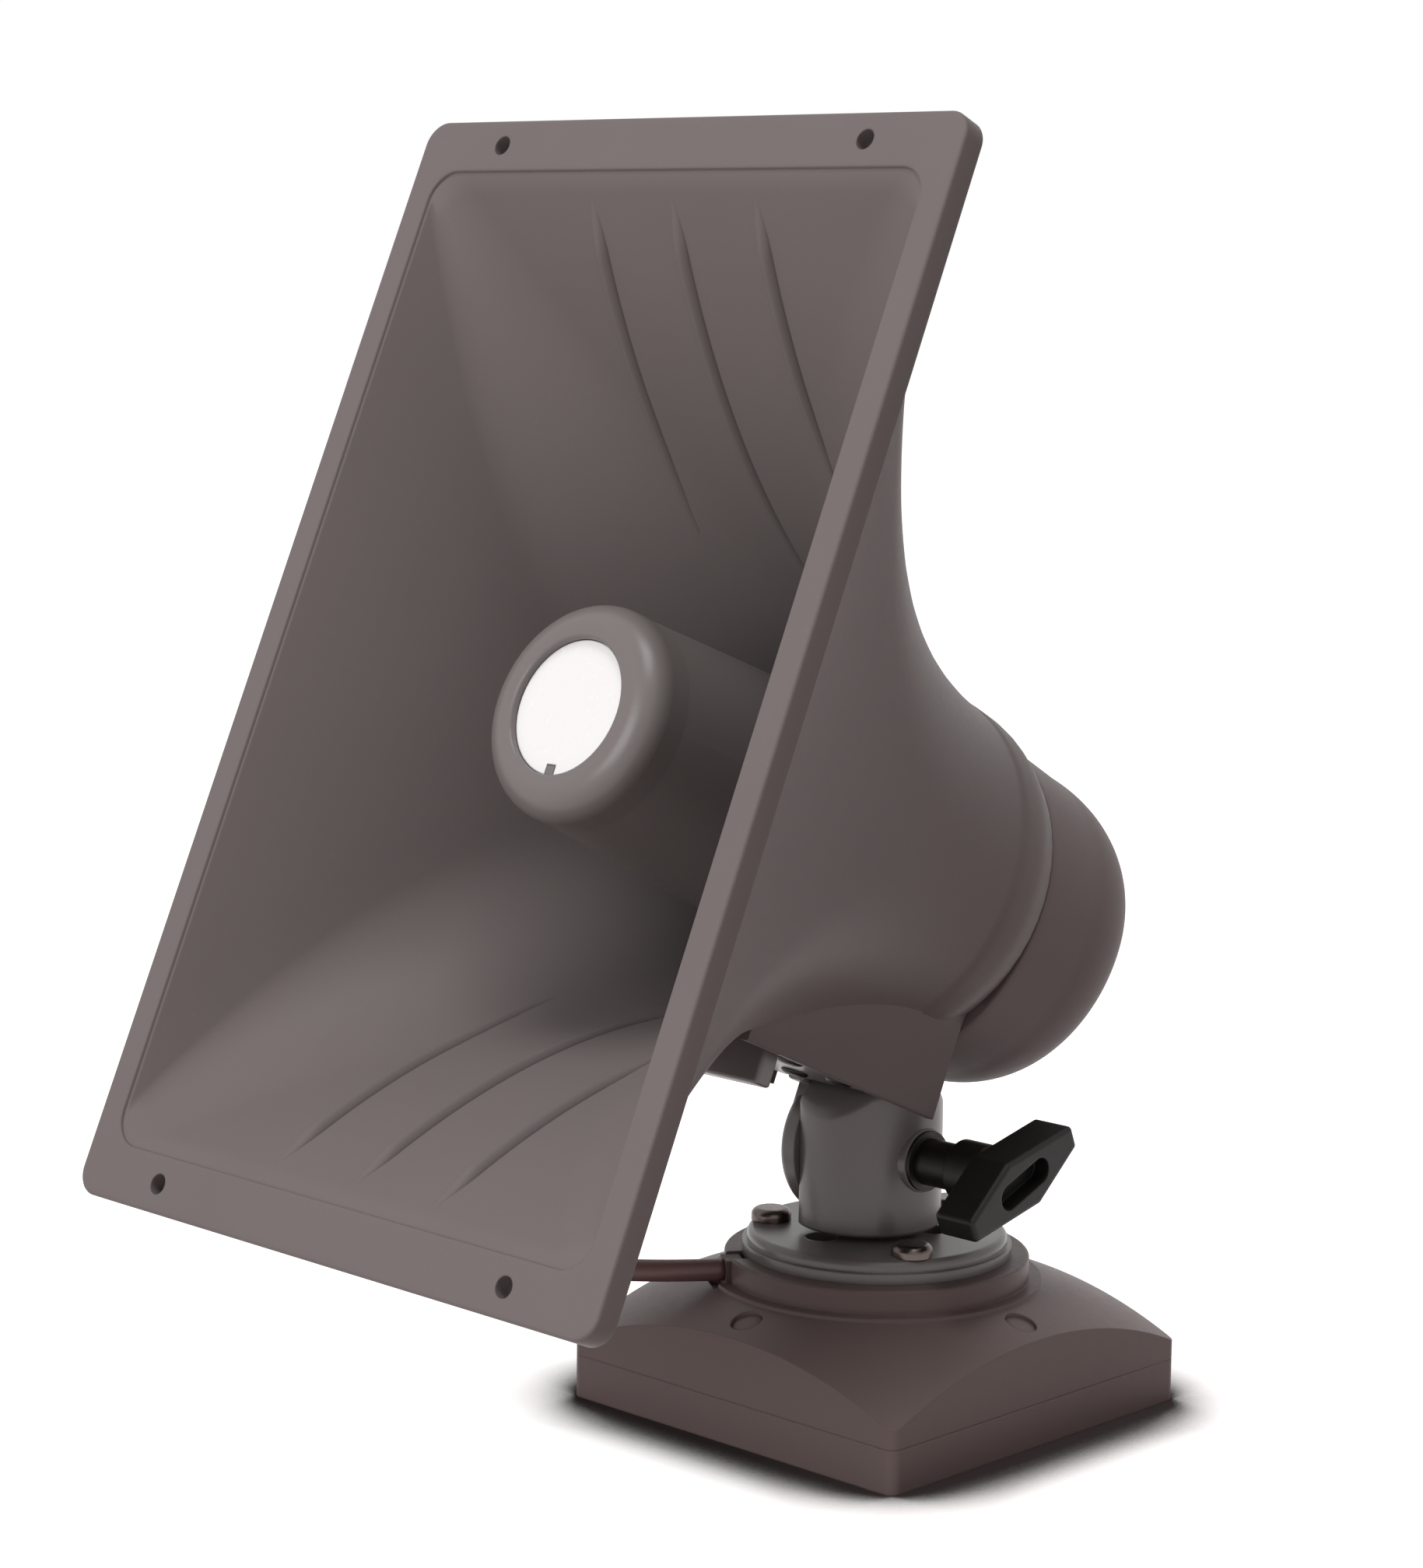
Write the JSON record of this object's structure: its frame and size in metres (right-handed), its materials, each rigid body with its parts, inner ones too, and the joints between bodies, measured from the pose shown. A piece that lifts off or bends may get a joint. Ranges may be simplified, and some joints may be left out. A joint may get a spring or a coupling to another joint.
{
  "type": "paging speaker",
  "caption": "Rectangular re-entrant horn speaker on a swivel neck, with a wing knob and a domed square amplifier base.",
  "frame": {"origin": "centre of the base's flat underside, where it meets the wall box or table", "axes": "+Z from the underside towards the horn, +X along the mouth's short side to the wing knob, the horn faces -Y and up"},
  "size_m": [0.1854, 0.274, 0.3432],
  "materials": {
    "horn_bell": "fine satin moulding, warm grey",
    "reflector": "fine satin moulding, warm grey",
    "label_white": "plain white disc",
    "throat_plastic": "satin moulding, grey",
    "diaphragm_film": "thin amber film",
    "coil_wire": "wound enamelled wire",
    "driver_steel": "zinc plated",
    "magnet": "dark sintered ferrite",
    "rear_shell": "fine satin moulding, warm grey",
    "seal_rubber": "soft black rubber",
    "gland_plastic": "satin grey nylon",
    "mount_paint": "smooth grey paint over cast metal",
    "screw_steel": "bright stainless steel",
    "knob_black": "satin black",
    "base_shell": "fine satin moulding, taupe grey",
    "board_green": "green solder mask",
    "jack_shield": "tinned shield",
    "terminal_green": "green block",
    "capacitor_can": "bright cans",
    "component_black": "black moulded",
    "cable_jacket": "smooth dull jacket"
  },
  "bodies": {
    "base": {"base_tray": "base_shell", "base_cover": "base_shell", "base_gasket": "seal_rubber", "cover_screws": "screw_steel", "circuit_board": "board_green", "board_screws": "screw_steel", "network_jack": "jack_shield", "terminal_block": "terminal_green", "amplifier_chip": "component_black", "filter_capacitors": "capacitor_can", "power_inductor": "component_black", "mount_flange": "mount_paint", "flange_screws": "screw_steel", "cable_bush": "seal_rubber", "speaker_cable": "cable_jacket"},
    "neck": {"lower_knuckle": "mount_paint", "pan_bolt": "screw_steel", "pan_washer": "screw_steel"},
    "head": {"upper_knuckle": "mount_paint", "foot_screws": "screw_steel", "horn_bell": "horn_bell", "reflector_bullet": "reflector", "label_disc": "label_white", "bullet_screw": "screw_steel", "throat_tube": "throat_plastic", "phase_plug": "throat_plastic", "diaphragm": "diaphragm_film", "voice_coil": "coil_wire", "driver_plate": "driver_steel", "driver_magnet": "magnet", "driver_yoke": "driver_steel", "driver_screws": "screw_steel", "rear_gasket": "seal_rubber", "rear_cover": "rear_shell", "rear_screws": "screw_steel", "cable_gland": "gland_plastic"},
    "knob": {"wing_knob": "knob_black", "clamp_bolt": "screw_steel", "clamp_washer": "screw_steel"}
  },
  "joints": [
    {"name": "pan", "type": "hinge", "parent": "base", "child": "neck", "pos_m": [-0.0035, 0, 0.0418], "axis": [0, 0, 1], "range_deg": [-60, 60]},
    {"name": "tilt", "type": "hinge", "parent": "neck", "child": "head", "pos_m": [0, 0, 0.0695], "axis": [-1, 0, 0], "range_deg": [-20, 35], "deforming": ["speaker_cable"]},
    {"name": "knob_turn", "type": "hinge", "parent": "neck", "child": "knob", "pos_m": [0, 0, 0.0695], "axis": [1, 0, 0], "range_deg": [0, 450]}
  ]
}
